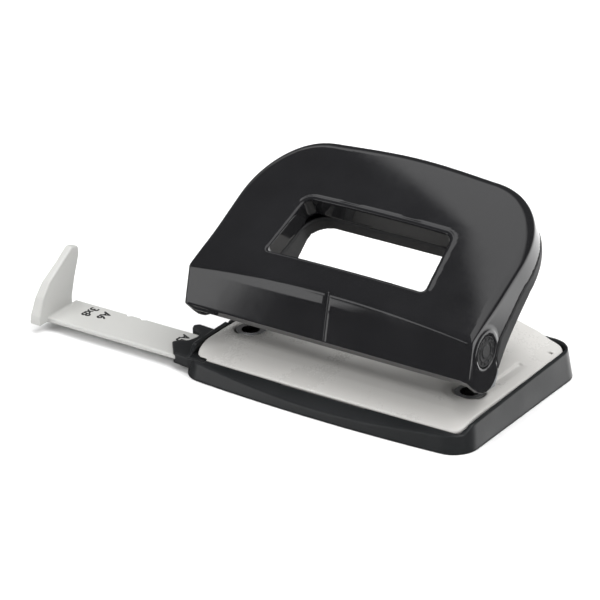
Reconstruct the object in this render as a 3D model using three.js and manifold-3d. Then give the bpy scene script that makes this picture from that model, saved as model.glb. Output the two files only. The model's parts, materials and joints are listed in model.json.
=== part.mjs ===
/**
 * Two-hole desk punch with a sliding paper guide.
 *
 * Millimetres, +Z up, +Y away from the user, paper goes in from -Y.
 * The origin is on the underside of the chip tray, midway between the two punches.
 * The handle is shown open, as its two springs hold it.
 */
import * as THREE from 'three';
import { mergeVertices } from 'three/addons/utils/BufferGeometryUtils.js';
import Module from 'manifold-3d';

const wasm = await Module();
wasm.setup();

/* ---------- driving dimensions ---------- */

const GAP = 0.3;                    // kept between pieces that touch
const PUNCH_SPACING = 80;           // between hole centres
const HOLE_INSET = 12;              // hole centre to the edge of the paper
const PUNCH_X = PUNCH_SPACING / 2;
const PUNCH_Y = -12.8;
const PAPER_Z = 10.8;               // level that the paper lies on

const BASE_HALF_WIDTH = 52;
const BASE_HALF_DEPTH = 35.6;
const BASE_CORNER = 7.7;
const FRONT_BOW = 2.4;              // how far the middle of the front stands forward
const TRAY_DRAFT = 1.2;             // lean of the tray's walls
const TRAY_WALL = 2.5;
const TRAY_FLOOR = 1.5;
const RIM_FRONT = 8.3;
const RIM_REAR = 10.2;
const LIP_TOP = 6.1;                // of the front lip's sloping face
const LIP_LOW = 3;
const TRAY_FRONT_WALL_Y = -32.4;    // inner face of the front wall

const PLATE_SKIN = 2;
const PLATE_FRONT_Y = -32.1;
const PLATE_REAR_Y = 32.7;
const PLATE_HALF_WIDTH = BASE_HALF_WIDTH - TRAY_WALL - 0.4;
const PLATE_BOTTOM = 3;

const DIE_RADIUS = 4.7;
const DIE_TOP = 10;
const DIE_BOTTOM = 6;
const PIN_RADIUS = 2.75;            // 5.5 mm holes
const PIN_CLEARANCE = 0.2;
const DISH_RADIUS = 7.8;

const HINGE_Y = -23;
const HINGE_Z = 30.3;
const HINGE_PIN_RADIUS = 1.9;
const HANDLE_TILT = THREE.MathUtils.degToRad(28.4);
const HANDLE_HALF_WIDTH = 51.3;
const HANDLE_WALL = 2.2;
const HANDLE_END = 56.6;            // from the hinge to the free end, along the handle
const CROWN_TOP = 11.4;
const FACE_EDGE = 9.1;

const SHEET = 1.6;                  // steel sheet of the brackets and the lever
const CHEEK_INNER = 7.0;            // from a punch's axis to the inside of its bracket

const GUIDE_FRONT_Y = -32.1;
const GUIDE_REAR_Y = -15.9;
const GUIDE_BOTTOM = 3;
const GUIDE_TOP = 4.6;
const GUIDE_STOP_X = -105.5;        // face that the sheet's side edge meets
const GUIDE_INNER_END_X = 6;
const DETENT_X = -48.4;             // where the leaf spring drops into a notch
const SHEET_STOPS = [105, 148.5, 74, 68.5];   // A5, A4, A6 and triple 80 mm spacing, from the middle

/* ---------- helpers ---------- */

/** A closed three.js geometry as a solid that can be joined and cut. */
function solid(geometry) {
  const bare = geometry.clone();
  bare.deleteAttribute('normal');
  bare.deleteAttribute('uv');
  const merged = mergeVertices(bare, 1e-4);
  return new wasm.Manifold(new wasm.Mesh({
    numProp: 3,
    vertProperties: new Float32Array(merged.attributes.position.array),
    triVerts: new Uint32Array(merged.index.array),
  }));
}

/** Where an outline's own axes go when it is extruded along x, y or z. */
const EXTRUDE_FRAME = {
  x: new THREE.Matrix4().set(0, 0, 1, 0, 1, 0, 0, 0, 0, 1, 0, 0, 0, 0, 0, 1),
  y: new THREE.Matrix4().set(0, 1, 0, 0, 0, 0, 1, 0, 1, 0, 0, 0, 0, 0, 0, 1),
  z: new THREE.Matrix4(),
};

/** An outline extruded along an axis: [y, z] along x, [x, z] along y, [x, y] along z. */
function prism(axis, outline, from, to) {
  const points = outline.map(([a, b]) => (axis === 'y' ? new THREE.Vector2(b, a) : new THREE.Vector2(a,
    b)));
  const geometry = new THREE.ExtrudeGeometry(new THREE.Shape(points),
    { depth: to - from, bevelEnabled: false });
  geometry.translate(0, 0, from);
  geometry.applyMatrix4(EXTRUDE_FRAME[axis]);
  return solid(geometry);
}

function block([x0, x1], [y0, y1], [z0, z1]) {
  const geometry = new THREE.BoxGeometry(x1 - x0, y1 - y0, z1 - z0);
  geometry.translate((x0 + x1) / 2, (y0 + y1) / 2, (z0 + z1) / 2);
  return solid(geometry);
}

/** A round bar along z from one height to another. */
function bar(radius, [x, y], [z0, z1], sides = 24) {
  const geometry = new THREE.CylinderGeometry(radius, radius, z1 - z0, sides);
  geometry.rotateX(Math.PI / 2);
  geometry.translate(x, y, (z0 + z1) / 2);
  return solid(geometry);
}

/** A round bar along x, at a place in the y-z plane. */
function crossBar(radius, [x0, x1], [y, z], sides = 24) {
  const geometry = new THREE.CylinderGeometry(radius, radius, x1 - x0, sides);
  geometry.rotateZ(Math.PI / 2);
  geometry.translate((x0 + x1) / 2, y, z);
  return solid(geometry);
}

function join(pieces) {
  return pieces.reduce((whole, piece) => whole.add(piece));
}

function cut(whole, pieces) {
  return pieces.reduce((rest, piece) => rest.subtract(piece), whole);
}

/** A solid through outlines of equal point count, with a fan over each end. */
function loft(rings) {
  const count = rings[0].length;
  const centres = [rings[0], rings.at(-1)]
    .map((ring) => [0, 1, 2].map((axis) => ring.reduce((sum, point) => sum + point[axis], 0) / count));
  const last = (rings.length - 1) * count;
  const index = [];
  for (let i = 0; i < count; i += 1) {
    const next = (i + 1) % count;
    for (let low = 0; low < last; low += count) {
      index.push(low + i, low + next, low + count + next, low + i, low + count + next, low + count + i);
    }
    index.push(last + count, next, i, last + count + 1, last + i, last + next);
  }
  const geometry = new THREE.BufferGeometry();
  geometry.setAttribute('position', new THREE.Float32BufferAttribute([...rings.flat(), ...centres].flat(),
    3));
  geometry.setIndex(index);
  return solid(geometry);
}

function circle([x, y], radius, steps = 24) {
  return Array.from({ length: steps }, (_, i) => {
    const angle = (2 * Math.PI * i) / steps;
    return [x + radius * Math.cos(angle), y + radius * Math.sin(angle)];
  });
}

/** A polygon whose corners [x, y, radius] are rounded. */
function rounded(corners, steps = 5) {
  return corners.flatMap(([x, y, radius = 0], i) => {
    if (radius === 0) return [[x, y]];
    const corner = new THREE.Vector2(x, y);
    const before = new THREE.Vector2(...corners.at(i - 1).slice(0, 2)).sub(corner).normalize();
    const after = new THREE.Vector2(...corners[(i + 1) % corners.length].slice(0,
      2)).sub(corner).normalize();
    const reach = radius / Math.tan(Math.acos(before.dot(after)) / 2);
    const start = corner.clone().addScaledVector(before, reach);
    const end = corner.clone().addScaledVector(after, reach);
    return new THREE.QuadraticBezierCurve(start, corner, end).getPoints(steps).map((p) => [p.x, p.y]);
  });
}

/** Both sides of a shape that is the same left and right. */
function mirrored(points) {
  return [...points, ...points.filter(([x]) => x !== 0).reverse().map(([x, y]) => [-x, y])];
}

const object = new THREE.Group();
const handle = new THREE.Group();
handle.position.set(0, HINGE_Y, HINGE_Z);
handle.rotation.x = HANDLE_TILT;
object.add(handle);

function addPiece(group, name, shape, [color, roughness, metalness]) {
  const mesh = shape.getMesh();
  const geometry = new THREE.BufferGeometry();
  geometry.setAttribute('position', new THREE.BufferAttribute(mesh.vertProperties, 3));
  geometry.setIndex(new THREE.BufferAttribute(mesh.triVerts, 1));
  geometry.computeVertexNormals();
  const piece = new THREE.Mesh(geometry, new THREE.MeshStandardMaterial({ color, roughness, metalness }));
  piece.name = name;
  group.add(piece);
}

/* colour, roughness, metalness */
const GLOSS_BLACK = ['#1c1c1e', 0.12, 0];
const MATTE_BLACK = ['#2e2f31', 0.6, 0];
const TRAY_BLACK = ['#38393b', 0.5, 0];
const LIGHT_GREY = ['#dedcd9', 0.45, 0];
const GUIDE_GREY = ['#dcdcda', 0.5, 0];
const STEEL = ['#b8b9bb', 0.35, 1];
const DARK_STEEL = ['#5d5f62', 0.45, 1];
const BOTH_SIDES = [['left', -1], ['right', 1]];

/* ---------- base: chip tray ---------- */

/** The base's outline seen from above, moved in by an inset. */
function baseOutline(inset, corner = BASE_CORNER - inset) {
  const w = BASE_HALF_WIDTH - inset;
  const d = BASE_HALF_DEPTH - inset;
  const points = [];
  const corners = [[1, 1, 0], [-1, 1, 90], [-1, -1, 180], [1, -1, 270]];
  for (const [sx, sy, start] of corners) {
    for (let degrees = 0; degrees <= 90; degrees += 15) {
      const angle = THREE.MathUtils.degToRad(start + degrees);
      points.push([sx * (w - corner) + corner * Math.cos(angle),
        sy * (d - corner) + corner * Math.sin(angle)]);
    }
    if (sx < 0 && sy < 0) {
      for (let part = -0.8; part < 0.9; part += 0.2) points.push([part * (w - corner), -d]);
    }
  }
  return points.map(([x, y]) => {
    const share = Math.max(0, (-y - (d - corner)) / corner);
    return [x, y - FRONT_BOW * (1 - (x / w) ** 2) * share];
  });
}

function rimHeight(y) {
  return THREE.MathUtils.mapLinear(y, -BASE_HALF_DEPTH, BASE_HALF_DEPTH, RIM_FRONT, RIM_REAR);
}

/** Front lip of the tray: how its sloping face runs down from a straight top edge to a bowed lower edge. */
function frontSlope(topZ, lowZ) {
  const stations = Array.from({ length: 31 }, (_, i) => -60 + i * 4);
  return loft(stations.map((x) => {
    const share = Math.min(1, (x / 50) ** 2);
    const slope = (topZ - THREE.MathUtils.lerp(lowZ, topZ + 0.4, share)) / 6;
    return [[x, -26, 25], [x, -42, 25], [x, -42, topZ - 10 * slope], [x, -32, topZ], [x, -26, topZ + 3]];
  }));
}

function chipTray() {
  const foot = baseOutline(0).map(([x, y]) => [x, y, 0]);
  const rim = baseOutline(TRAY_DRAFT, BASE_CORNER).map(([x, y]) => [x, y, rimHeight(y)]);
  const cavity = prism('z', baseOutline(TRAY_WALL), TRAY_FLOOR, 30)
    .subtract(block([-60, 60], [-60, TRAY_FRONT_WALL_Y], [0, 40]));
  const holderNotch = block([-60, -43.6], [-33.8, -9.9], [TRAY_FLOOR, 30]);
  return cut(loft([foot, rim]), [cavity, frontSlope(LIP_TOP, LIP_LOW), holderNotch]);
}
addPiece(object, 'chip_tray', chipTray(), TRAY_BLACK);

/* ---------- base: plate with the two dies ---------- */

/** Skin of the plate from front to rear, as [y, z], lowered by a drop. */
function plateSideLine(drop) {
  const line = [[PLATE_FRONT_Y, 6.2], [-28.3, 8], [-25, 9.5], [-21.8, 10.5], [-19, PAPER_Z],
    [19, PAPER_Z], [22, 11.6], [29, 14.8], [31.5, 15.3], [PLATE_REAR_Y, 14.8]];
  return line.map(([y, z]) => [y, z - drop]);
}

/** Skin of the plate from side to side, as [x, z], with its sloping borders and rear hump. */
function plateFrontLine(inset, drop) {
  const line = [[PLATE_HALF_WIDTH - inset, 8.9], [42.6, 10.5], [38, 12.4], [30, 14.4], [14, 15.3],
    [0, 15.4]];
  return line.map(([x, z]) => [x, z - drop]);
}

function plateBody(inset, drop, bottom) {
  const side = [...plateSideLine(drop), [PLATE_REAR_Y, bottom], [-25, bottom], [-25, 5.1],
    [PLATE_FRONT_Y, 5.1]];
  const inner = [...plateSideLine(drop).slice(1), [PLATE_REAR_Y, bottom], [-28.3, bottom]];
  const front = mirrored([...plateFrontLine(inset, drop)]);
  front.unshift([-PLATE_HALF_WIDTH + inset, bottom], [PLATE_HALF_WIDTH - inset, bottom]);
  return prism('x', drop === 0 ? side : inner, -60, 60)
    .intersect(prism('y', front, -60, 60))
    .intersect(prism('z', baseOutline(TRAY_WALL + 0.4 + inset, 6.2), -10, 40));
}

const FOOT_SCREWS = [27.6, 35.2];
const FOOT_SCREW_Y = 2.8;

function basePlate() {
  let plate = plateBody(0, 0, PLATE_BOTTOM).subtract(plateBody(1.8, PLATE_SKIN, -10));
  for (const [, side] of BOTH_SIDES) {
    const place = [side * PUNCH_X, PUNCH_Y];
    const boss = bar(DIE_RADIUS + 1.9, place, [5.1, PAPER_Z - 1]);
    const dish = solid(new THREE.SphereGeometry(38, 96, 48).rotateX(Math.PI / 2)
      .translate(place[0], place[1], PAPER_Z - 0.8 + 38))
      .intersect(bar(DISH_RADIUS, place, [0, 20], 36));
    const seat = bar(DIE_RADIUS + GAP, place, [DIE_BOTTOM - GAP, 20]);
    const chipHole = bar(PIN_RADIUS + 0.6, place, [-5, 20]);
    const screwHoles = FOOT_SCREWS.map((x) => bar(1.7, [side * x, FOOT_SCREW_Y], [-5, 20], 16));
    const holderHole = bar(0.7, [side * 46.3, 25.4], [-5, 20], 12);
    const groove = prism('y', [[42.3, 12], [42.3, 9.4], [46.4, 9.75],
      [46.4, 12]].map(([x, z]) => [side * x, z]), -9, 12.4);
    plate = cut(plate.add(boss), [dish, seat, chipHole, ...screwHoles, holderHole, groove]);
  }
  const guideRoom = block([-60, 50], [GUIDE_FRONT_Y - 1, GUIDE_REAR_Y + 0.5], [0, GUIDE_TOP + 0.4]);
  const holderRoom = block([-60, -43.6], [-34, -10.2], [0, 6.1]);
  return cut(plate, [guideRoom, holderRoom]);
}
addPiece(object, 'base_plate', basePlate(), LIGHT_GREY);

for (const [name, side] of BOTH_SIDES) {
  const place = [side * PUNCH_X, PUNCH_Y];
  const die = cut(bar(DIE_RADIUS, place, [DIE_BOTTOM, DIE_TOP], 32), [
    bar(PIN_RADIUS + PIN_CLEARANCE, place, [0, 20]),
  ]);
  addPiece(object, `die_${name}`, die, STEEL);
}

/* ---------- punch units ---------- */

const THROAT_TOP = 14.2;
const THROAT_END_Y = PUNCH_Y + HOLE_INSET;
const FOOT_BOTTOM = PAPER_Z + GAP;
const FOOT_END_Y = 6.4;
const BOSS_RADIUS = 4.2;            // of the cheeks round the hinge pin
const BUSH_TOP = 20;
const BUSH_RADIUS = 4.2;

/** One bracket: two cheeks that carry the hinge pin, the floor that guides the punch, and a foot. */
function bracket(side) {
  const outer = PUNCH_X + CHEEK_INNER;
  const inner = PUNCH_X - CHEEK_INNER - SHEET;
  const foot = [25, 38.2];
  const shoulder = [[-14.5, 26], [-19.2, 32], [HINGE_Y, HINGE_Z], [-26.8, 28.3]];
  const innerCheek = [[FOOT_END_Y, FOOT_BOTTOM], [FOOT_END_Y, 17], [-9.5, 21.4], ...shoulder, [-25, 22],
    [-17.6, THROAT_TOP], [THROAT_END_Y, THROAT_TOP], [THROAT_END_Y, FOOT_BOTTOM]];
  const outerCheek = [[-12.8, THROAT_TOP], [-10.8, 18], [-12, 22.5], ...shoulder, [-25, 22],
    [-16.2, THROAT_TOP]];
  const floorOutline = [[inner + 0.5, -17.6], [44.5, -17.6], [outer + 0.5, -15.8], [outer + 0.5, -13],
    [44, -7.6], [foot[1], -6.5], [foot[1], THROAT_END_Y + SHEET], [inner + 0.5, THROAT_END_Y + SHEET]];
  const webX = [inner + 0.5, foot[1]];
  const footZ = [FOOT_BOTTOM, FOOT_BOTTOM + SHEET];
  const whole = join([
    prism('x', innerCheek, inner, inner + SHEET),
    prism('x', outerCheek, outer, outer + SHEET),
    crossBar(BOSS_RADIUS, [inner, inner + SHEET], [HINGE_Y, HINGE_Z]),
    crossBar(BOSS_RADIUS, [outer, outer + SHEET], [HINGE_Y, HINGE_Z]),
    prism('z', floorOutline, THROAT_TOP, THROAT_TOP + SHEET),
    block(webX, [THROAT_END_Y, THROAT_END_Y + SHEET], [FOOT_BOTTOM, THROAT_TOP + SHEET]),
    block(foot, [THROAT_END_Y, FOOT_END_Y], footZ),
  ]);
  const drilled = cut(whole, [
    bar(BUSH_RADIUS - 0.9 + GAP, [PUNCH_X, PUNCH_Y], [THROAT_TOP - 1, THROAT_TOP + 4]),
    crossBar(HINGE_PIN_RADIUS + 0.15, [20, 60], [HINGE_Y, HINGE_Z]),
    ...FOOT_SCREWS.map((x) => bar(1.6, [x, FOOT_SCREW_Y], [0, 20], 16)),
  ]);
  return side < 0 ? drilled.mirror([1, 0, 0]) : drilled;
}

const TAB_START = THREE.MathUtils.degToRad(16);   // press tab above the hinge's level when open
const TAB_REACH = 10.4;
const TAB_RADIUS = 1.8;
const TAB_Z = HINGE_Z + TAB_REACH * Math.sin(TAB_START);
const HEAD_TOP = TAB_Z - TAB_RADIUS - 0.25;
const TIP_Z = 14.4;

/** Punch pin: a notched cutting tip, a plain shank and a flat head. */
function punchPin(place) {
  const shank = bar(PIN_RADIUS, place, [TIP_Z, HEAD_TOP - 1]);
  const head = bar(3.6, place, [HEAD_TOP - 1.5, HEAD_TOP]);
  const [x, y] = place;
  const notch = prism('x', [[y - 3.2, TIP_Z - 0.1], [y + 3.2, TIP_Z - 0.1], [y, TIP_Z + 1.1]],
    x - 4, x + 4);
  return shank.add(head).subtract(notch);
}

/** Guide bush: a thin flange under the bracket's floor and a sleeve up through it. */
function guideBush(place) {
  const sleeve = bar(BUSH_RADIUS - 0.9, place, [THROAT_TOP + 0.4, BUSH_TOP]);
  const collar = bar(BUSH_RADIUS, place, [THROAT_TOP + SHEET + GAP, THROAT_TOP + SHEET + 1.6]);
  return sleeve.add(collar).subtract(bar(PIN_RADIUS + PIN_CLEARANCE / 2, place, [0, 40]));
}

/** Compression spring: a helix of round wire. */
function returnSpring([x, y], [z0, z1], radius, wire, turns) {
  const steps = turns * 14;
  const points = Array.from({ length: steps + 1 }, (_, i) => {
    const angle = (2 * Math.PI * i) / 14;
    const height = THREE.MathUtils.lerp(z0 + wire / 2 + 0.1, z1 - wire / 2 - 0.1, i / steps);
    return new THREE.Vector3(x + radius * Math.cos(angle), y + radius * Math.sin(angle), height);
  });
  const section = new THREE.Shape(circle([0, 0], wire / 2, 6).map(([a, b]) => new THREE.Vector2(a, b)));
  const path = new THREE.CatmullRomCurve3(points);
  return solid(new THREE.ExtrudeGeometry(section, { steps, bevelEnabled: false, extrudePath: path }));
}

const COLLAR_TOP = HEAD_TOP - 1.5 - GAP;
const COLLAR_BOTTOM = COLLAR_TOP - 1.2;
const SPRING_SEAT = THROAT_TOP + SHEET + 1.6 + GAP;
const CLIP_RADIUS = 3.3;
const CLIP_THICKNESS = 0.7;

for (const [name, side] of BOTH_SIDES) {
  const centre = side * PUNCH_X;
  const place = [centre, PUNCH_Y];
  const inner = CHEEK_INNER + SHEET;
  const pinEnds = [centre - side * (inner + 1.3), centre + side * (inner + 0.1)].sort((a, b) => a - b);
  const clipStart = centre - side * (inner + GAP) - (side > 0 ? CLIP_THICKNESS : 0);
  const hingeLine = [HINGE_Y, HINGE_Z];
  const clip = cut(crossBar(CLIP_RADIUS, [clipStart, clipStart + CLIP_THICKNESS], hingeLine), [
    crossBar(HINGE_PIN_RADIUS + 0.1, [clipStart - 1, clipStart + 2], hingeLine),
    block([clipStart - 1, clipStart + 2], [HINGE_Y - 1.3, HINGE_Y + 1.3], [HINGE_Z - 6, HINGE_Z]),
  ]);
  const springCollar = bar(5.8, place, [COLLAR_BOTTOM, COLLAR_TOP]).subtract(bar(PIN_RADIUS + 0.15, place,
    [0, 60]));
  addPiece(object, `bracket_${name}`, bracket(side), STEEL);
  addPiece(object, `punch_guide_${name}`, guideBush(place), DARK_STEEL);
  addPiece(object, `hinge_pin_${name}`, crossBar(HINGE_PIN_RADIUS, pinEnds, hingeLine), DARK_STEEL);
  addPiece(object, `hinge_clip_${name}`, clip, DARK_STEEL);
  addPiece(object, `punch_pin_${name}`, punchPin(place), STEEL);
  addPiece(object, `spring_collar_${name}`, springCollar, DARK_STEEL);
  addPiece(object, `return_spring_${name}`,
    returnSpring(place, [SPRING_SEAT, COLLAR_BOTTOM - GAP], 5, 1.1, 4), STEEL);
  FOOT_SCREWS.forEach((x, i) => {
    const at = [side * x, FOOT_SCREW_Y];
    const screw = bar(2.6, at, [PAPER_Z - PLATE_SKIN - 1.7, PAPER_Z - PLATE_SKIN - GAP], 20)
      .add(bar(1.25, at, [PAPER_Z - PLATE_SKIN - 1, FOOT_BOTTOM + SHEET + 0.6], 16));
    addPiece(object, `bracket_screw_${name}_${i + 1}`, screw, DARK_STEEL);
  });
}

/* ---------- paper guide ---------- */

/** Light grey slide with a tall stop at its outer end, notched for the sheet sizes. */
function paperGuide() {
  const strip = block([GUIDE_STOP_X - 1, GUIDE_INNER_END_X], [GUIDE_FRONT_Y, GUIDE_REAR_Y],
    [GUIDE_BOTTOM, GUIDE_TOP]);
  const finOutline = rounded([[-36.3, GUIDE_BOTTOM], [-36.2, 6.2], [-34.2, 12, 2], [-30.8, 16.3, 3],
    [-18.4, 24.4, 1.5],
    [-14.9, 23.4, 1.5], [-14.8, 20.5], [-17.3, 13.5], [-18.9, 7.5], [-19.1, GUIDE_BOTTOM]], 4);
  const fin = prism('x', finOutline, GUIDE_STOP_X - 2.4, GUIDE_STOP_X);
  const foot = prism('x', rounded([[-36.3, GUIDE_BOTTOM], [-36, 7, 1], [-33, 12, 2], [-27, 14, 2],
    [-20, 12, 2],
    [-19.4, GUIDE_BOTTOM]], 4), GUIDE_STOP_X - 4.2, GUIDE_STOP_X - 2);
  const notches = SHEET_STOPS.map((stop) => DETENT_X + stop - SHEET_STOPS[0])
    .map((x) => prism('z', [[x - 1.3, GUIDE_REAR_Y + 0.1], [x, GUIDE_REAR_Y - 1.1],
      [x + 1.3, GUIDE_REAR_Y + 0.1]], 0, 20));
  return cut(join([strip, fin, foot]), notches);
}
addPiece(object, 'paper_guide', paperGuide(), GUIDE_GREY);

/** Black holder in the left side of the base that the guide slides through. */
function guideHolder() {
  const collar = [[-44, -33.3], [-50, -33.4], [-55.8, -32.6], [-61, -26], [-60.2, -25], [-57.2, -22.6],
    [-56.3, -19],
    [-57.4, -16.2], [-61.6, -14], [-62.3, -12.4], [-61, -10.8], [-56, -11.2], [-44, -11.2]];
  const wallPatch = [[-49.5, -32.9], [-50.4, -32.2], [-51.4, -28], [-51.4, -10.6], [-49.5, -10.6]];
  const patchTop = [[-34, 0], [-34, 12], [-10, 9], [-10, 0]];
  const slot = block([-80, -30], [GUIDE_FRONT_Y - GAP, GUIDE_REAR_Y + GAP],
    [GUIDE_BOTTOM - GAP, GUIDE_TOP + GAP]);
  const thumbCut = prism('z', [[-70, -33], [-60.2, -25], [-57.2, -22.6], [-56.3, -19],
    [-57.4, GUIDE_REAR_Y],
    [-70, -15]], GUIDE_TOP, 20);
  const springPocket = block([-54.4, -40], [GUIDE_REAR_Y, -12.6], [GUIDE_BOTTOM - GAP, GUIDE_TOP + GAP]);
  const patch = prism('z', wallPatch, 2, 9).intersect(prism('x', patchTop, -60, -40));
  return cut(prism('z', collar, 2, 5.7).add(patch), [slot, thumbCut, frontSlope(LIP_TOP - 0.1, 2.5),
    springPocket]);
}
addPiece(object, 'guide_holder', guideHolder(), TRAY_BLACK);

/** Leaf spring, drawn just clear of the guide; its bend clicks into the guide's notches. */
function detentSpring() {
  const x = DETENT_X;
  const upper = [[x - 5.6, -13.2], [x - 3.4, -13.5], [x - 1.6, -14.7], [x - 0.4, -15.6], [x + 0.4, -15.6],
    [x + 1.6, -14.7], [x + 3.6, -14.1]];
  const lower = upper.map(([a, b]) => [a, b + 0.5]).reverse();
  return prism('z', [...upper, ...lower], GUIDE_BOTTOM + 0.1, GUIDE_TOP - 0.1);
}
addPiece(object, 'guide_detent_spring', detentSpring(), STEEL);

/* ---------- handle, in its own frame: x, y from the hinge along the face, z out of the face ---------- */

/** The handle's plan: straight sides, large corners and a slightly bowed free end. */
function handlePlan(inset) {
  const points = [[HANDLE_HALF_WIDTH - inset, -30], [HANDLE_HALF_WIDTH - inset, 26]];
  const cornerEnd = [29, 54.8 - inset];
  for (let i = 1; i <= 8; i += 1) {
    const angle = (i / 8) * (Math.PI / 2);
    const power = 2 / 2.15;
    points.push([
      cornerEnd[0] + (HANDLE_HALF_WIDTH - inset - cornerEnd[0]) * Math.cos(angle) ** power,
      26 + (cornerEnd[1] - 26) * Math.sin(angle) ** power,
    ]);
  }
  points.push([15, HANDLE_END - inset - 0.5], [0, HANDLE_END - inset]);
  return mirrored(points);
}

/** Height of the face from side to side, as [x, z]. */
function crownLine(inset) {
  const w = HANDLE_HALF_WIDTH - inset;
  const line = [[w, -60], [w, 6.3 - inset], [50 - inset, FACE_EDGE - inset], [35, 10.3 - inset],
    [18, 11.1 - inset],
    [0, CROWN_TOP - inset]];
  return mirrored(line);
}

const LOBE = [[-11.9, -0.9], [-11.4, -2.4], [-10.2, -6], [-8.8, -9.4], [-7.3, -11.5], [-5.6, -12.9],
  [-3.7, -13.6],
  [-1.6, -13.5], [0.4, -12.9]];

/** How far the plan draws in as the face is neared, as [z, inset]: the rolled edge. */
const EDGE_ROLL = [[-45, 0], [6, 0], [8.2, 0.9], [9.5, 2.2], [10.5, 4.4], [11.6, 9]];

function handleBody(inset, sideProfile) {
  const rings = EDGE_ROLL.map(([z, roll]) => handlePlan(inset + roll).map(([x, y]) => [x, y, z - inset]));
  return loft(rings)
    .intersect(prism('y', crownLine(inset), -30, 70))
    .intersect(prism('x', sideProfile, -HANDLE_HALF_WIDTH, HANDLE_HALF_WIDTH));
}

function handleOuter() {
  return handleBody(0, [[-1.9, CROWN_TOP], [-3.8, FACE_EDGE], ...LOBE, [3, -12.2], [28, -5.3], [60, -5.3],
    [60, CROWN_TOP]]);
}

function handleHollow() {
  return handleBody(HANDLE_WALL, [[-1.4, 8.6], [-10.2, -2.3], [-20, -14.4], [-20, -40], [70, -40],
    [70, CROWN_TOP],
    [-0.9, CROWN_TOP - HANDLE_WALL]]);
}

/** The finger window's outline, moved out by an offset. */
function windowOutline(offset) {
  const w = 28.4 + offset;
  return rounded([[-w, 7.6 - offset, 1.5], [w, 7.6 - offset, 1.5], [w - 2.2, 30 + offset, 8 + offset],
    [-w + 2.2, 30 + offset, 8 + offset]], 6);
}

/** Below this line the handle's back shell begins: [y, z] from the lobe to the free end. */
const PARTING = [[2.1, -14.5], [2.9, -7.4], [5.1, -5.3], [7.6, -3.5], [14.4, -2.1], [22, -0.5], [25, 0],
  [60, 0]];
const SKIRT_BOTTOM = [[-16, 1.5], [10, -12.6], [10, -50], [-16, -50]];
const SKIRT_LIP = [[-11.6, -0.6], [-10.9, -4.35], [-9.7, -4], [-9.5, -1.5], [-8.8, 0.2]];
const COLLAR_WALL = 1.2;
const COVER_COLLAR_END = 3.1;
const HANDLE_SCREWS = [[39, 29], [24, 45]];
const FLOOR_UNDER = -2;             // underside of the back shell's floor
const LEVER_PLATE = [4.9, 4.9 + SHEET];
const EAR_OUTER = CHEEK_INNER - GAP;

function windowWall(from, to) {
  return prism('z', windowOutline(COLLAR_WALL), from, to);
}

function handleCover() {
  const outer = handleOuter();
  const below = prism('x', [...PARTING, [60, -60], [2.1, -60]], -60, 60);
  const skirtCut = prism('x', SKIRT_BOTTOM, -48.9, 48.9);
  const lip = prism('x', SKIRT_LIP, -43, 43);
  const collar = windowWall(COVER_COLLAR_END, 20).intersect(outer);
  const posts = mirroredPlaces(HANDLE_SCREWS).map((at) => bar(3, at, [0.2, 9]).intersect(outer));
  const bores = mirroredPlaces(HANDLE_SCREWS).map((at) => bar(1.45, at, [-10, 5.6], 16));
  const capSeats = BOTH_SIDES.map(([, side]) => crossBar(5.2, [side * 50.9 - 0.5, side * 50.9 + 0.5],
    [0, 0], 32));
  const shell = cut(outer, [handleHollow(), below, skirtCut]);
  return cut(join([shell, lip, collar, ...posts]), [prism('z', windowOutline(0), -20, 40),
    ...bores, ...capSeats]);
}

function mirroredPlaces(places) {
  return places.flatMap(([x, y]) => [[x, y], [-x, y]]);
}

function handleBack() {
  const shifted = PARTING.map(([y, z]) => [y + 0.2, z - GAP]);
  const below = prism('x', [...shifted, [60, -60], [2.3, -60]], -60, 60);
  const shell = handleOuter().subtract(handleHollow()).intersect(below);
  const floorLine = [[17.8, -5.2], [26, FLOOR_UNDER], [54.8, FLOOR_UNDER], [54.8, -0.45], [26, -0.45],
    [17.8, -3.6]];
  const floor = prism('x', floorLine, -60, 60).intersect(prism('z', handlePlan(HANDLE_WALL - 0.4),
    -40, 40));
  const wall = windowWall(-8, COVER_COLLAR_END - GAP)
    .intersect(prism('x', [[6.2, -8], [17.8, -5.2], [26, FLOOR_UNDER], [40, FLOOR_UNDER], [40, 20],
      [6.2, 20]], -60, 60));
  const holes = mirroredPlaces(HANDLE_SCREWS).map((at) => bar(1.5, at, [-20, 20], 16));
  return cut(join([shell, floor, wall]), [prism('z', windowOutline(0), -20, 40), ...holes]);
}

/** Steel lever inside the handle: a top plate, four ears on the hinge pins, and two press tabs. */
function leverFrame() {
  const tabCentre = [TAB_REACH * Math.cos(TAB_START - HANDLE_TILT),
    TAB_REACH * Math.sin(TAB_START - HANDLE_TILT)];
  const pieces = [block([-PUNCH_X, PUNCH_X], [-2, 5.6], LEVER_PLATE)];
  const holes = mirroredPlaces(HANDLE_SCREWS.slice(0, 1)).map((at) => bar(3.3, at, [0, 10]));
  for (const [, side] of BOTH_SIDES) {
    const centre = side * PUNCH_X;
    const tab = [centre - 3.5, centre + 3.5];
    pieces.push(block([centre - EAR_OUTER, centre + EAR_OUTER], [-2, 14], LEVER_PLATE));
    pieces.push(block([side * (PUNCH_X - EAR_OUTER), side * 43.5].sort((a, b) => a - b), [13, 33.5],
      LEVER_PLATE));
    pieces.push(block(tab, [tabCentre[0] - 0.9, tabCentre[0] + 0.9], [tabCentre[1], LEVER_PLATE[1]]));
    pieces.push(crossBar(TAB_RADIUS, tab, tabCentre, 20));
    for (const x of [centre - EAR_OUTER, centre + EAR_OUTER - SHEET]) {
      pieces.push(crossBar(4.1, [x, x + SHEET], [0, 0]));
      pieces.push(block([x, x + SHEET], [-2, 4], [0, LEVER_PLATE[1]]));
    }
    holes.push(crossBar(HINGE_PIN_RADIUS + 0.15, [centre - 10, centre + 10], [0, 0]));
  }
  return cut(join(pieces), holes);
}

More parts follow.
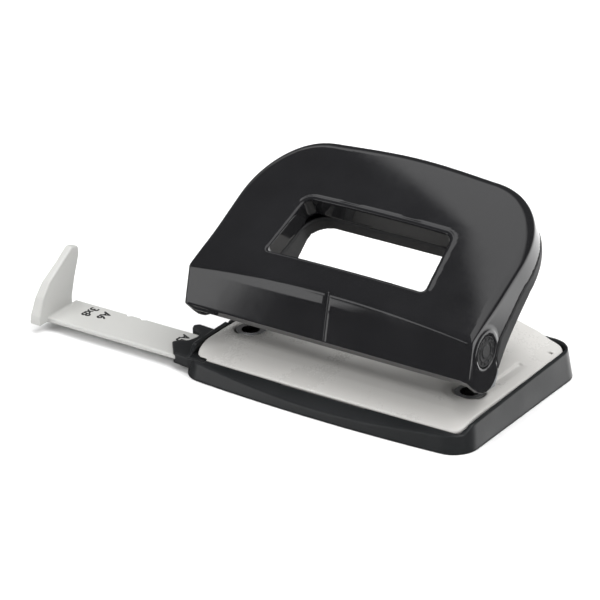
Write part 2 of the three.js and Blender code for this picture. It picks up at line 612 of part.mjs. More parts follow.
addPiece(handle, 'handle_cover', handleCover(), GLOSS_BLACK);
addPiece(handle, 'handle_back', handleBack(), MATTE_BLACK);
addPiece(handle, 'lever_frame', leverFrame(), STEEL);
for (const [name, side] of BOTH_SIDES) {
  const cap = crossBar(4.9, [side * 51.1 - 0.4, side * 51.1 + 0.4], [0, 0], 32);
  addPiece(handle, `hinge_cap_${name}`, cap, MATTE_BLACK);
}
mirroredPlaces(HANDLE_SCREWS).forEach(([x, y], i) => {
  const screw = bar(2.4, [x, y], [FLOOR_UNDER - GAP - 1.2, FLOOR_UNDER - GAP], 20)
    .add(bar(1.2, [x, y], [FLOOR_UNDER - 1, 5], 16));
  addPiece(handle, `handle_screw_${i + 1}`, screw, DARK_STEEL);
});

export default object;
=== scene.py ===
"""Looks of the desk hole punch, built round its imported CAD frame.

Smooth pieces are level sets: a signed distance in millimetres, meshed on a grid and then
moved onto the exact surface. The handle's own frame has S along its face from the hinge
towards the free end and N out of the face.
"""
import json
import math
import bpy
import numpy as np
from mathutils import Matrix, Vector


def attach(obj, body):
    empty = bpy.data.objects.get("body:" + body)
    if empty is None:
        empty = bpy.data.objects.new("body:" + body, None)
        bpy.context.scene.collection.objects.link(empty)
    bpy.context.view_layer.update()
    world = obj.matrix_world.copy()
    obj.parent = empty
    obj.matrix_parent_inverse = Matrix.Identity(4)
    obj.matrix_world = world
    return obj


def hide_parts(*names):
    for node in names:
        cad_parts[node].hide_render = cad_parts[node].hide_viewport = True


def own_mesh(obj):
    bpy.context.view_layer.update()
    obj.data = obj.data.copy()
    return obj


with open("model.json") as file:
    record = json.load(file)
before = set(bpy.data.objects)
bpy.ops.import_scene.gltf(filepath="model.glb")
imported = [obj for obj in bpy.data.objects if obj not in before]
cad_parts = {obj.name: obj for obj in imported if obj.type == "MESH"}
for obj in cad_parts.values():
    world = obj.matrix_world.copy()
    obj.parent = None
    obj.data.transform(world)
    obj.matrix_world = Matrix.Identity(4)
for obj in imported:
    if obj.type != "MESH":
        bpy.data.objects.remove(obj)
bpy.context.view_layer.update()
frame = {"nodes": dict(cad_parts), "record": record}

MM = 0.001
HINGE = (0.0, -23.0, 30.3)
TILT = math.radians(28.4)
PUNCH_X = 40.0
PUNCH_Y = -12.8
LABEL_Z = 4.62


# ---------- distances ----------

def polygon_distance(a, b, points):
    """Signed distance from (a, b) to a closed polygon, negative inside."""
    best = None
    crossings = False
    for (ax, ay), (bx, by) in zip(points, points[1:] + points[:1]):
        ex, ey = bx - ax, by - ay
        px, py = a - ax, b - ay
        t = np.clip((px * ex + py * ey) / (ex * ex + ey * ey + 1e-12), 0, 1)
        d = (px - ex * t) ** 2 + (py - ey * t) ** 2
        best = d if best is None else np.minimum(best, d)
        if by != ay:
            hit = ((ay > b) != (by > b)) & (a < ex * (b - ay) / ey + ax)
            crossings = crossings ^ hit
    return np.where(crossings, -1.0, 1.0) * np.sqrt(best)


def both(a, b, r=0.0):
    """Where both shapes are, with the edge between them rounded to r."""
    if np.ndim(r) == 0 and r == 0:
        return np.maximum(a, b)
    return np.minimum(-r, np.maximum(a, b)) + np.hypot(np.maximum(a + r, 0), np.maximum(b + r, 0))


def either(a, b, r=0.0):
    """Where either shape is, with the corner between them filled to r."""
    if r == 0:
        return np.minimum(a, b)
    return np.maximum(r, np.minimum(a, b)) - np.hypot(np.maximum(r - a, 0), np.maximum(r - b, 0))


def step_between(v, low, high):
    t = np.clip((v - low) / (high - low), 0, 1)
    return t * t * (3 - 2 * t)


def block(x, y, z, xs, ys, zs, r=0.3):
    """A box with rounded edges."""
    q = [np.abs(v - (lo + hi) / 2) - (hi - lo) / 2 + r for v, (lo, hi) in ((x, xs), (y, ys), (z, zs))]
    outside = np.sqrt(sum(np.maximum(v, 0) ** 2 for v in q))
    return outside + np.minimum(np.maximum(np.maximum(q[0], q[1]), q[2]), 0) - r


def rounded_corners(corners, steps=8):
    """A polygon whose corners (x, y, radius) are circular arcs."""
    out = []
    for i, (x, y, r) in enumerate(corners):
        p = np.array([x, y], float)
        u = np.array(corners[i - 1][:2], float) - p
        v = np.array(corners[(i + 1) % len(corners)][:2], float) - p
        u, v = u / np.linalg.norm(u), v / np.linalg.norm(v)
        if r == 0:
            out.append((x, y))
            continue
        half = math.acos(float(np.clip(u @ v, -1, 1))) / 2
        centre = p + (u + v) / np.linalg.norm(u + v) * r / math.sin(half)
        first = math.atan2(*(p + u * r / math.tan(half) - centre)[::-1])
        turn = math.atan2(*(p + v * r / math.tan(half) - centre)[::-1]) - first
        turn = (turn + math.pi) % (2 * math.pi) - math.pi
        for k in range(steps + 1):
            a = first + turn * k / steps
            out.append(tuple(centre + r * np.array([math.cos(a), math.sin(a)])))
    return [(float(a), float(b)) for a, b in out]


# ---------- meshing ----------

def gradient(field, p, e=0.02):
    g = [field(*(p + e * d).T) - field(*(p - e * d).T) for d in np.eye(3)]
    return np.stack(g, 1) / (2 * e)


def level_set(field, low, high, pitch):
    """Vertices and quads of the surface where the field is zero."""
    axes = [np.arange(lo - 2.3 * pitch, hi + 2.4 * pitch, pitch) for lo, hi in zip(low, high)]
    x, y, z = axes[0][:, None, None], axes[1][None, :, None], axes[2][None, None, :]
    shape = tuple(len(a) for a in axes)
    value = np.ascontiguousarray(np.broadcast_to(field(x, y, z), shape)).astype(np.float32)
    inside = value < 0
    cells = tuple(n - 1 for n in shape)
    total = np.zeros(cells + (3,), np.float32)
    count = np.zeros(cells, np.float32)
    for axis in range(3):
        others = [k for k in range(3) if k != axis]
        for i in (0, 1):
            for j in (0, 1):
                a = [slice(0, n) for n in cells]
                for other, offset in zip(others, (i, j)):
                    a[other] = slice(offset, offset + cells[other])
                b = list(a)
                b[axis] = slice(1, cells[axis] + 1)
                fa, fb = value[tuple(a)], value[tuple(b)]
                cross = inside[tuple(a)] != inside[tuple(b)]
                t = np.where(cross, fa / np.where(cross, fa - fb, 1), 0)
                total[..., axis] += t
                total[..., others[0]] += cross * i
                total[..., others[1]] += cross * j
                count += cross
    used = count > 0
    index = np.full(cells, -1, np.int64)
    index[used] = np.arange(used.sum())
    corner = np.argwhere(used)
    points = np.array([a[0] for a in axes]) + (corner + total[used] / count[used][:, None]) * pitch
    quads = []
    for axis in range(3):
        j, k = (axis + 1) % 3, (axis + 2) % 3
        a = [slice(1, n - 1) for n in shape]
        a[axis] = slice(0, shape[axis] - 1)
        b = list(a)
        b[axis] = slice(1, shape[axis])
        ia, ib = inside[tuple(a)], inside[tuple(b)]
        for flip in (False, True):
            at = np.argwhere((ia & ~ib) if not flip else (~ia & ib))
            at[:, j] += 1
            at[:, k] += 1
            ring = []
            for dj, dk in ((-1, -1), (0, -1), (0, 0), (-1, 0)):
                c = at.copy()
                c[:, j] += dj
                c[:, k] += dk
                ring.append(index[c[:, 0], c[:, 1], c[:, 2]])
            quads.append(np.stack(ring[::-1] if flip else ring, 1))
    start = points.copy()
    for _ in range(4):
        g = gradient(field, points)
        size = (g ** 2).sum(1)
        move = -(field(*points.T) / np.maximum(size, 0.05))[:, None] * g
        points = points + np.clip(move, -0.3 * pitch, 0.3 * pitch)
        points = start + np.clip(points - start, -0.8 * pitch, 0.8 * pitch)
    return points, np.concatenate(quads)


def add_mesh(name, points, faces, body, material, smooth=True):
    mesh = bpy.data.meshes.new(name)
    mesh.from_pydata([tuple(p) for p in points], [], [tuple(int(i) for i in f) for f in faces])
    mesh.update()
    mesh.polygons.foreach_set("use_smooth", [smooth] * len(mesh.polygons))
    mesh.materials.append(material)
    obj = bpy.data.objects.new(name, mesh)
    bpy.context.scene.collection.objects.link(obj)
    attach(obj, body)
    return obj


def to_world(points):
    """From the handle's own frame (x, S, N) to the row's, in millimetres."""
    x, s, n = points.T
    c, k = math.cos(TILT), math.sin(TILT)
    return np.stack([HINGE[0] + x, HINGE[1] + s * c - n * k, HINGE[2] + s * k + n * c], 1)


def piece(node, field, low, high, pitch, body, material, tilted=False):
    """A smooth version of one CAD node."""
    points, faces = level_set(field, low, high, pitch)
    if tilted:
        points = to_world(points)
    obj = add_mesh(node + "_look", points * MM, faces, body, material)
    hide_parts(node)
    return obj


SLOT = {s["node"]: s["material_slot"] for s in frame["record"]["subparts"]}


# ---------- materials ----------

def material(name, color, rough, spread=0.05, grain=900.0, bump=0.02, metal=0.0, wear=0.25, stretch=(1, 1,
    1),
             patch=60.0, tint=0.12):
    """A surface with fine grain, soft patches of gloss and colour, and lighter worn edges."""
    mat = bpy.data.materials.new(name)
    mat.use_nodes = True
    nodes, links = mat.node_tree.nodes, mat.node_tree.links
    shader = nodes["Principled BSDF"]
    shader.inputs["Metallic"].default_value = metal
    place = nodes.new("ShaderNodeTexCoord")
    scale = nodes.new("ShaderNodeMapping")
    scale.inputs["Scale"].default_value = stretch
    links.new(place.outputs["Object"], scale.inputs["Vector"])

    def noise(size, detail):
        n = nodes.new("ShaderNodeTexNoise")
        n.inputs["Scale"].default_value = size
        n.inputs["Detail"].default_value = detail
        links.new(scale.outputs["Vector"], n.inputs["Vector"])
        return n.outputs["Fac"]

    def spread_over(source, low, high):
        m = nodes.new("ShaderNodeMapRange")
        m.inputs["From Min"].default_value = 0.3
        m.inputs["From Max"].default_value = 0.7
        m.inputs["To Min"].default_value = low
        m.inputs["To Max"].default_value = high
        links.new(source, m.inputs["Value"])
        return m.outputs["Result"]

    fine, soft = noise(grain, 3.0), noise(patch, 5.0)
    mix = nodes.new("ShaderNodeMix")
    mix.data_type = "RGBA"
    mix.inputs["A"].default_value = (*[c * (1 - tint) for c in color], 1)
    mix.inputs["B"].default_value = (*[min(1, c * (1 + tint)) for c in color], 1)
    links.new(spread_over(soft, 0, 1), mix.inputs["Factor"])
    edge = nodes.new("ShaderNodeNewGeometry")
    sharp = nodes.new("ShaderNodeMapRange")
    sharp.inputs["From Min"].default_value = 0.54
    sharp.inputs["From Max"].default_value = 0.68
    sharp.inputs["To Max"].default_value = wear
    links.new(edge.outputs["Pointiness"], sharp.inputs["Value"])
    worn = nodes.new("ShaderNodeMix")
    worn.data_type = "RGBA"
    worn.inputs["B"].default_value = (*[min(1, c * 1.5 + 0.02) for c in color], 1)
    links.new(sharp.outputs["Result"], worn.inputs["Factor"])
    links.new(mix.outputs["Result"], worn.inputs["A"])
    links.new(worn.outputs["Result"], shader.inputs["Base Color"])
    roughness = nodes.new("ShaderNodeMath")
    roughness.operation = "ADD"
    links.new(spread_over(soft, rough - spread, rough + spread), roughness.inputs[0])
    links.new(spread_over(fine, -spread * 0.4, spread * 0.4), roughness.inputs[1])
    links.new(roughness.outputs[0], shader.inputs["Roughness"])
    relief = nodes.new("ShaderNodeBump")
    relief.inputs["Strength"].default_value = 1.0
    relief.inputs["Distance"].default_value = bump * MM
    links.new(fine, relief.inputs["Height"])
    links.new(relief.outputs["Normal"], shader.inputs["Normal"])
    return mat


GLOSS = material("gloss_black_plastic", (0.011, 0.011, 0.012), 0.05, 0.02, grain=700, bump=0.0006, wear=0.3)
TEXTURED = material("textured_black_plastic", (0.022, 0.022, 0.023), 0.5, 0.06, grain=2600, bump=0.05)
TRAY_BLACK = material("satin_black_plastic", (0.014, 0.015, 0.016), 0.38, 0.05, grain=2200, bump=0.03)
PLATE = material("light_grey_plastic", (0.57, 0.56, 0.54), 0.28, 0.02, grain=1500, bump=0.002, wear=0.1,
    tint=0.012)
GUIDE = material("guide_grey_plastic", (0.45, 0.45, 0.435), 0.36, 0.03, grain=1700, bump=0.003, wear=0.1,
    tint=0.015)
INK = material("black_ink", (0.012, 0.012, 0.013), 0.5, 0.05, grain=3000, bump=0.004, wear=0)
ZINC = material("zinc_steel", (0.36, 0.37, 0.38), 0.38, 0.07, grain=1400, bump=0.01, metal=1,
    stretch=(0.15, 1, 1))
GROUND = material("ground_steel", (0.62, 0.62, 0.63), 0.22, 0.06, grain=1800, bump=0.006, metal=1,
    stretch=(1, 1, 0.1))
DARK = material("dark_steel", (0.22, 0.22, 0.23), 0.36, 0.08, grain=1600, bump=0.01, metal=1)
WIRE = material("spring_wire", (0.5, 0.5, 0.51), 0.25, 0.06, grain=2400, bump=0.004, metal=1)
FINISH = {"zinc_steel": ZINC, "ground_steel": GROUND, "dark_steel": DARK, "spring_steel": WIRE,
          "textured_black": TEXTURED, "gloss_black": GLOSS, "base_black": TRAY_BLACK, "light_grey": PLATE,
          "guide_grey": GUIDE}
for node_name, node in frame["nodes"].items():
    node.data.materials.clear()
    node.data.materials.append(FINISH[SLOT[node_name]])


# ---------- handle ----------

def plan(x, s):
    """Distance to the handle's D outline, seen along N."""
    bulge = 1.8 * np.maximum(0, 1 - (x / 51.3) ** 2) ** 4
    u = np.maximum(np.abs(x) - 29, 0) / 22.3
    v = np.maximum(s - 26 - bulge, 0) / 28.8
    q = (u ** 2.15 + v ** 2.15 + 1e-9) ** (1 / 2.15)
    slope = np.hypot((u / q) ** 1.15 / 22.3, (v / q) ** 1.15 / 28.8)
    return (q - 1) / np.maximum(slope, 0.033)


LOBE = [(-11.9, -0.9), (-11.4, -2.4), (-10.2, -6), (-8.8, -9.4), (-7.3, -11.5), (-5.6, -12.9), (-3.7,
    -13.6),
        (-1.6, -13.5), (0.4, -12.9)]
SIDE = [(5.17, 20.13), (-12.08, -0.8)] + LOBE + [(3, -12.2), (9.1, -10), (14.9, -8.4), (20.3, -7.1), (28,
    -5.5), (60, -5.3), (60, 20)]
PARTING = [(2.1, -14.5), (2.9, -7.4), (5.1, -5.3), (7.6, -3.5), (10.9, -2.7), (14.4, -2.1), (22, -0.5),
    (25, 0), (70, 0),
           (70, -60), (2.1, -60)]
WINDOW = rounded_corners([(-28.4, 7.6, 1.5), (28.4, 7.6, 1.5), (26.2, 30, 8), (-26.2, 30, 8)])
FACE_WINDOW = rounded_corners([(-28.4, 7.6, 1.5), (28.4, 7.6, 1.5), (26.2, 30, 2.8), (-26.2, 30, 2.8)])
SKIRT_LIP = [(-11.6, -0.6), (-10.9, -4.35), (-9.7, -4), (-9.5, -1.5), (-8.8, 0.2)]
BACK_FLOOR = [(17.8, -5.2), (26, -2), (58, -2), (58, -0.45), (26, -0.45), (17.8, -3.6)]
WALL = 2.2
SIDE_DRAFT = 0.02
SKIRT_CROWN = 0.15
POSTS = ((39, 29), (-39, 29), (24, 45), (-24, 45))


def skirt(s, n):
    """Height over the skirt's face, which is slightly crowned."""
    along = (s + 8.0) * 0.6416 + (n - 4.1) * 0.7668
    crown = SKIRT_CROWN * (1 - np.minimum(1, (along / 8) ** 2))
    return (s + 3.8) * -0.7668 + (n - 9.1) * 0.6416 - crown


def top(x, n):
    return (n - (11.4 - 2.3 * (x / 50) ** 2)) * 0.99


def handle_skin(x, s, n):
    """The outside of the whole handle."""
    wall = plan(x, s) + SIDE_DRAFT * (n + 13.7)
    side = polygon_distance(s, n, SIDE)
    roll = 1.0 + 1.4 * step_between(s, -4, 14) + 1.0 * step_between(s, 28, 50)
    drop = 0.0004 * np.maximum(0, s - 34) ** 2
    skin = both(both(both(side, skirt(s, n)), top(x, n) + drop, 0.8), wall, roll)
    down = s * -0.4756 - n * 0.8796
    across = s * 0.8796 - n * 0.4756
    lobe = np.where(down > 0, np.abs(across), np.hypot(s, n)) - 6.6
    lobe = both(both(lobe, side + 0.6, 0.8), np.abs(x) - 51.25, 0.5)
    return either(skin, lobe, 0.8)


def handle_hollow(x, s, n):
    """The space inside, open below."""
    wall = plan(x, s) + SIDE_DRAFT * (n + 13.7)
    return both(both(skirt(s, n) + WALL, top(x, n) + WALL, 1), wall + WALL, 2)


def cover(x, s, n):
    skin = handle_skin(x, s, n)
    shell = both(skin, -handle_hollow(x, s, n), 0.2)
    below = np.maximum(np.abs(x) - 48.9, (n - 1.5 + 0.5423 * (s + 16)) * 0.879)
    shell = both(shell, -below, 0.35)
    lip = both(polygon_distance(s, n, SKIRT_LIP), np.abs(x) - 49.2, 0.3)
    shell = either(shell, lip, 0.3)
    shell = both(shell, -polygon_distance(s, n, PARTING), 0.25)
    hole = polygon_distance(x, s, FACE_WINDOW)
    collar = np.maximum(np.maximum(hole - 1.2, 3.1 - n), skin)
    posts = 1e3
    for px, ps in POSTS:
        posts = np.minimum(posts, np.hypot(x - px, s - ps) - 3)
    posts = np.maximum(np.maximum(posts, 0.2 - n), skin + 0.5)
    whole = either(either(shell, collar, 0.5), posts, 0.4)
    whole = both(whole, -hole, 0.9)
    groove = np.maximum(np.abs(x) - 0.45, -skirt(s, n) - 0.45)
    whole = both(whole, -groove, 0.2)
    seat = np.maximum(np.hypot(s, n) - 5.05, 50.6 - np.abs(x))
    return both(whole, -seat, 0.1)


def back(x, s, n):
    skin = handle_skin(x, s, n)
    shell = both(skin, -handle_hollow(x, s, n), 0.3)
    shell = both(shell, polygon_distance(s - 0.2, n + 0.3, PARTING), 0.25)
    inner = plan(x, s) + SIDE_DRAFT * (n + 13.7) + WALL - 0.4
    floor = np.maximum(polygon_distance(s, n, BACK_FLOOR), inner)
    hole = polygon_distance(x, s, WINDOW)
    under = [(6.2, -8), (17.8, -5.2), (26, -2), (40, -2), (40, 2.8), (6.2, 2.8)]
    collar = np.maximum(hole - 1.2, polygon_distance(s, n, under))
    whole = either(either(shell, floor, 0.4), collar, 0.4)
    for px, ps in POSTS:
        whole = np.maximum(whole, 1.5 - np.hypot(x - px, s - ps))
    return both(whole, -hole, 0.6)


piece("handle_cover", cover, (-51.6, -12.6, -14), (51.6, 57, 12), 0.5, "handle", GLOSS, tilted=True)
piece("handle_back", back, (-51.6, -1, -14), (51.6, 57, 3.2), 0.6, "handle", TEXTURED, tilted=True)


def hinge_cap(side):
    """Round trim on the hinge's axis: a raised ring with ticks round an oval boss."""
    def field(x, s, n):
        r = np.hypot(s, n)
        a = np.arctan2(n, s)
        ring = np.abs(r - 4.1) - 0.55
        ticks = np.maximum(ring, np.abs(np.sin(a * 6)) * r / 6 - 0.22)
        oval = np.hypot(s / 1.0, n / 1.25) - 1.9
        raised = np.minimum(np.minimum(np.abs(r - 4.65) - 0.22, np.abs(r - 3.15) - 0.16),
            np.minimum(ticks, oval))
        height = 51.0 + 0.28 * (1 - step_between(raised, -0.12, 0.12))
        return both(r - 4.9, np.maximum(x * side - height, 50.7 - x * side), 0.1)
    return field


for side, name in ((-1, "left"), (1, "right")):
    ends = sorted((50.6 * side, 51.5 * side))
    piece("hinge_cap_" + name, hinge_cap(side), (ends[0], -5, -5), (ends[1], 5, 5), 0.14, "handle",
        TEXTURED,
          tilted=True)


# ---------- base ----------

def base_outline(x, y, inset, corner=7.7):
    """Distance to the base's plan, whose front edge is bowed."""
    bow = 2.4 * (1 - (x / 52) ** 2) * step_between(-y, 27.9, 35.6)
    w, d = 52 - inset, 35.6 - inset
    qx, qy = np.abs(x) - w + corner, np.abs(y + bow) - d + corner
    return np.hypot(np.maximum(qx, 0), np.maximum(qy, 0)) + np.minimum(np.maximum(qx, qy), 0) - corner


def lip_slope(x, y):
    share = np.minimum(1, (x / 50) ** 2)
    slope = (6.1 - (3 + share * 3.5)) / 6
    return 6.1 + (y + 32) * np.where(y < -32, slope, 0.7)


def tray(x, y, z):
    rim = 9.25 + y * 0.0267
    skin = base_outline(x, y, 0.133 * z)
    body = both(skin, z - rim, 0.5)
    body = both(body, (z - lip_slope(x, y)) * 0.9, 0.35)
    body = both(body, -z, 0.5)
    room = both(np.maximum(base_outline(x, y, 2.5, 5.2), -32.4 - y), 1.5 - z, 0.5)
    notch = block(x, y, z, (-70, -43.6), (-33.8, -9.9), (1.5, 30), 0.1)
    return both(both(body, -room, 0.2), -notch, 0.2)


PLATE_SIDE = [(-32.1, 6.2), (-30.4, 7.0), (-28.3, 8), (-25, 9.5), (-23, 10.15), (-21.8, 10.5), (-20.4,
    10.72), (-19, 10.8),
              (17, 10.8), (19, 10.95), (22, 11.8), (25.5, 13.3), (29, 14.6), (31.5, 15.1), (32.7, 14.7)]
PLATE_FRONT = [(49.1, 8.9), (46, 9.6), (42.6, 10.5), (40, 11.6), (38, 12.4), (30, 14.4), (14, 15.3)]


def plate(x, y, z):
    side = polygon_distance(y, z, PLATE_SIDE + [(32.7, 3), (-25, 3), (-25, 5.1), (-32.1, 5.1)])
    line = PLATE_FRONT + [(-a, b) for a, b in reversed(PLATE_FRONT)]
    front = polygon_distance(x, z, line + [(-49.1, -9), (49.1, -9)])
    body = both(both(side, front, 1.6), base_outline(x, y, 2.9, 6.2), 0.7)
    inner = polygon_distance(y, z + 2, PLATE_SIDE[2:] + [(32.7, -20), (-28.3, -20)])
    room = np.maximum(np.maximum(inner, front + 1.8), base_outline(x, y, 4.7, 4.4))
    body = both(body, -room, 0.2)
    for side_sign in (-1, 1):
        # the punch's boss, dish, die seat and chip hole
        r = np.hypot(x - PUNCH_X * side_sign, y - PUNCH_Y)
        boss = np.maximum(np.maximum(r - 6.6, 5.1 - z), z - 9.8)
        body = np.minimum(body, boss)
        dish = np.sqrt(r * r + (z - 48) ** 2) - 38
        body = both(body, -np.maximum(dish, r - 7.8), 0.4)
        body = both(body, -np.maximum(r - 5.0, 5.7 - z), 0.15)
        body = np.maximum(body, 3.35 - r)
        # the bracket's screw holes, the small rear hole and the ditch at the side
        for hx in (27.6, 35.2):
            body = np.maximum(body, 1.7 - np.hypot(x - hx * side_sign, y - 2.8))
        body = both(body, 0.7 - np.hypot(x - 46.3 * side_sign, y - 25.4), 0.2)
        ditch = polygon_distance(x * side_sign, z, [(42.3, 13), (42.3, 9.4), (46.4, 9.75), (46.4, 13)])
        body = both(body, -np.maximum(np.maximum(ditch, y - 12.4), -9 - y), 0.15)
    guide_room = block(x, y, z, (-60, 50), (-40, -15.4), (-5, 5), 0.1)
    holder_room = block(x, y, z, (-60, -43.6), (-40, -10.2), (-5, 6.1), 0.1)
    return both(both(body, -guide_room, 0.1), -holder_room, 0.1)


piece("chip_tray", tray, (-52.1, -38.1, 0), (52.1, 35.7, 10.3), 0.45, "tray", TRAY_BLACK)
piece("base_plate", plate, (-49.2, -32.2, 3), (49.2, 32.8, 15.5), 0.5, "base", PLATE)


# ---------- paper guide and its holder ----------

FIN = rounded_corners([(-36.3, 3, 0.6), (-36.2, 6.2, 1), (-34.2, 12, 4), (-30.8, 16.3, 4), (-18.4, 24.4,
    1.6),
                       (-14.9, 23.6, 1.4), (-14.8, 20.5, 2), (-17.3, 13.5, 8), (-18.9, 7.5, 8), (-19.1, 3,
                           0.5)], 5)
COLLAR = rounded_corners([(-44, -33.3, 0), (-50, -33.4, 0), (-55.8, -32.6, 0.8), (-61, -26, 0.8), (-60.2,
    -25, 0.4),
                          (-57.2, -22.6, 2), (-56.3, -19, 3), (-57.4, -16.2, 1.5), (-61.6, -14, 0.6),
                          (-62.3, -12.4, 0.8), (-61, -10.8, 0.8), (-56, -11.2, 0.8), (-44, -11.2, 0)], 4)
THUMB = rounded_corners([(-75, -33, 0), (-60.2, -25, 0.5), (-57.2, -22.6, 2), (-56.3, -19, 3), (-57.4,
    -15.9, 0.5),
                         (-75, -15, 0)], 4)


def guide(x, y, z):
    strip = block(x, y, z, (-106.5, 6), (-32.1, -15.9), (3, 4.6), 0.35)
    outer_face = -108.1 - 0.09 * np.maximum(0, 20 - z)
    fin = both(polygon_distance(y, z, FIN), np.maximum(x + 105.5, (outer_face - x) * 0.99), 0.55)
    body = either(strip, fin, 0.6)
    for notch in (-48.4, -4.9, -79.4, -84.9):
        body = np.maximum(body, -(np.abs(x - notch) - (y + 17) * 1.18) * 0.65)
    return body


def holder(x, y, z):
    collar = both(polygon_distance(x, y, COLLAR), np.maximum(2 - z, z - 5.7), 0.45)
    patch_plan = polygon_distance(x, y, [(-49.5, -32.9), (-50.4, -32.2), (-51.4, -28), (-51.4, -10.6),
        (-49.5, -10.6)])
    patch = both(patch_plan, np.maximum(2 - z, z - (8.95 + 0.028 * (y + 10))), 0.3)
    body = either(collar, patch, 0.2)
    slot = block(x, y, z, (-80, -30), (-32.4, -15.6), (2.7, 4.9), 0.2)
    thumb = np.maximum(polygon_distance(x, y, THUMB), 4.6 - z)
    pocket = block(x, y, z, (-54.4, -40), (-17, -12.6), (2.7, 4.9), 0.1)
    body = both(body, (z - lip_slope(x, y) + 0.1) * 0.9, 0.3)
    return both(both(both(body, -slot, 0.2), -thumb, 0.35), -pocket, 0.1)


piece("paper_guide", guide, (-110.3, -36.4, 3), (6, -14.7, 24.4), 0.4, "guide", GUIDE)
piece("guide_holder", holder, (-62.4, -33.5, 2), (-43.9, -10.5, 9), 0.3, "base", TRAY_BLACK)


# ---------- springs ----------

def spring(node, x, radius=5.0, wire=0.55, low=17.7, high=27.8, turns=4):
    """A round-wire coil, built at one fixed length between low and high."""
    per_turn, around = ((40, 12))
    steps = turns * per_turn
    start, pitch = low + wire, (high - low - 2 * wire) / (turns * 2 * math.pi)
    points, faces = [], []
    for i in range(steps + 1):
        a = 2 * math.pi * i / per_turn
        out = np.array([math.cos(a), math.sin(a), 0])
        for k in range(around):
            b = 2 * math.pi * k / around
            centre = np.array([x, PUNCH_Y, start + pitch * a]) + radius * out
            points.append(centre + wire * (math.cos(b) * out + math.sin(b) * np.array([0, 0, 1])))
    for i in range(steps):
        for k in range(around):
            a, b = i * around + k, i * around + (k + 1) % around
            faces.append((a, b, b + around, a + around))
    faces += [tuple(range(around)), tuple(range(steps * around, (steps + 1) * around))[::-1]]
    obj = add_mesh(node + "_look", np.array(points) * MM, faces, "base", WIRE)
    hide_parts(node)
    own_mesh(obj)


for side, name in ((-1, "left"), (1, "right")):
    spring("return_spring_" + name, PUNCH_X * side)


# ---------- printing ----------

READ_FROM_LEFT = Matrix.Rotation(-math.pi / 2, 4, "Z")
LABEL_SIZE = 4.4

def label(name, text, place, body):
    """Printed letters: a thin solid, so that the ink stands a little off the plastic."""
    curve = bpy.data.curves.new(name, "FONT")
    curve.body = text
    curve.size = LABEL_SIZE * MM
    curve.extrude = 0.04 * MM
    curve.offset = 0.00012
    curve.align_x = "CENTER"
    curve.align_y = "CENTER"
    curve.materials.append(INK)
    obj = bpy.data.objects.new(name, curve)
    obj.matrix_world = Matrix.Translation(Vector(place) * MM) @ READ_FROM_LEFT
    bpy.context.scene.collection.objects.link(obj)
    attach(obj, body)


label("size_mark_A6", "A6", (-91.6, -20.9, LABEL_Z), "guide")
label("size_mark_3x8", "3x8", (-97.1, -21.0, LABEL_Z), "guide")
label("size_mark_A5", "A5", (-60.6, -20.8, LABEL_Z), "guide")


# ---------- setting ----------

def add_plane(name, size, centre, mat):
    w, d = size
    corners = [(-w, -d, 0), (w, -d, 0), (w, d, 0), (-w, d, 0)]
    mesh = bpy.data.meshes.new(name)
    mesh.from_pydata([(a + centre[0], b + centre[1], c + centre[2]) for a, b, c in corners], [], [(0, 1,
        2, 3)])
    mesh.materials.append(mat)
    obj = bpy.data.objects.new(name, mesh)
    bpy.context.scene.collection.objects.link(obj)
    return obj


def light(name, size, power, place, aim=(0, 0, 0.02)):
    """A square soft lamp, turned towards aim."""
    data = bpy.data.lights.new(name, "AREA")
    data.size = size
    data.energy = power
    obj = bpy.data.objects.new(name, data)
    obj.location = place
    obj.rotation_euler = (Vector(aim) - Vector(place)).to_track_quat("-Z", "Y").to_euler()
    bpy.context.scene.collection.objects.link(obj)
    return obj


FLOOR = material("floor_paper", (0.9, 0.9, 0.9), 0.7, 0.03, grain=300, bump=0.01, wear=0, tint=0.004)
floor = add_plane("floor", (3, 3), (0, 0, 0), FLOOR)
floor.visible_glossy = False


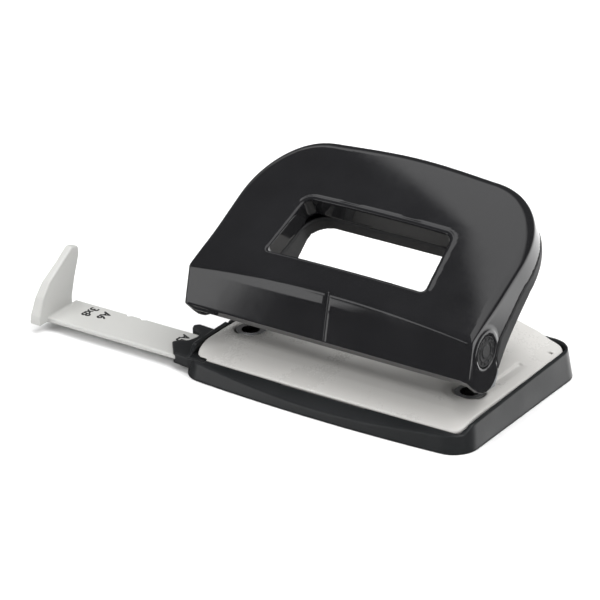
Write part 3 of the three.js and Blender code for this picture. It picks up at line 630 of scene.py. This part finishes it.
def studio(strength):
    """A dim room with three soft panels: overhead to the right, low in front, low behind.

    A panel is (power, slopes). Each slope is (direction, start, width): the panel fades in over
    width from where the dot product with direction passes -start.
    """
    panels = [
        (1.5, [((1, 2, 0), 0.235, 0.02), ((0, 0, 1), -0.3, 0.2), ((0, -1, 0), 0.5, 0.3)]),
        (2.0, [((-2.5, 0, 1), -1.185, 0.02), ((0, 0, -1), 0.32, 0.2), ((0, -1, 0), -0.55, 0.1)]),
        (1.9, [((0, 0, 1), 0.418, 0.02), ((0, 1, 0), -0.45, 0.2), ((0, 0, -1), 0.1, 0.3)]),
    ]
    world = bpy.data.worlds.new("studio")
    world.use_nodes = True
    nodes, links = world.node_tree.nodes, world.node_tree.links
    place = nodes.new("ShaderNodeTexCoord")
    total = None
    for power, slopes in panels:
        lit = None
        for direction, start, width in slopes:
            dot = nodes.new("ShaderNodeVectorMath")
            dot.operation = "DOT_PRODUCT"
            dot.inputs[1].default_value = direction
            links.new(place.outputs["Generated"], dot.inputs[0])
            ramp = nodes.new("ShaderNodeMapRange")
            ramp.interpolation_type = "SMOOTHSTEP"
            ramp.inputs["From Min"].default_value = -start
            ramp.inputs["From Max"].default_value = -start + width
            links.new(dot.outputs["Value"], ramp.inputs["Value"])
            if lit is None:
                lit = ramp.outputs["Result"]
                continue
            times = nodes.new("ShaderNodeMath")
            times.operation = "MULTIPLY"
            links.new(lit, times.inputs[0])
            links.new(ramp.outputs["Result"], times.inputs[1])
            lit = times.outputs[0]
        add = nodes.new("ShaderNodeMath")
        add.operation = "MULTIPLY_ADD"
        add.inputs[1].default_value = power
        links.new(lit, add.inputs[0])
        if total is None:
            add.inputs[2].default_value = strength
        else:
            links.new(total, add.inputs[2])
        total = add.outputs[0]
    links.new(total, nodes["Background"].inputs["Strength"])
    nodes["Background"].inputs["Color"].default_value = (1, 1, 1, 1)
    return world


bpy.context.scene.world = studio(0.07)
for lamp in (light("overhead", 1.6, 27, (0.2, 0.1, 1.5)), light("front_fill", 1.0, 15, (-0.6, -1.2, 0.8)),
             light("right_fill", 1.0, 7, (1.3, -0.2, 0.7))):
    lamp.visible_glossy = False
bpy.context.scene.view_settings.view_transform = "Standard"

camera_data = bpy.data.cameras.new("camera")
camera_data.lens = 198
camera_data.sensor_width = 36
camera_data.clip_end = 20
camera = bpy.data.objects.new("camera", camera_data)
camera.location = (0.492, -0.7855, 0.4497)
azimuth, elevation = math.radians(33.603), math.radians(24.609)
look = Vector((-math.cos(elevation) * math.sin(azimuth), math.cos(elevation) * math.cos(azimuth),
    -math.sin(elevation)))
camera.rotation_euler = look.to_track_quat("-Z", "Y").to_euler()
bpy.context.scene.collection.objects.link(camera)
bpy.context.scene.camera = camera
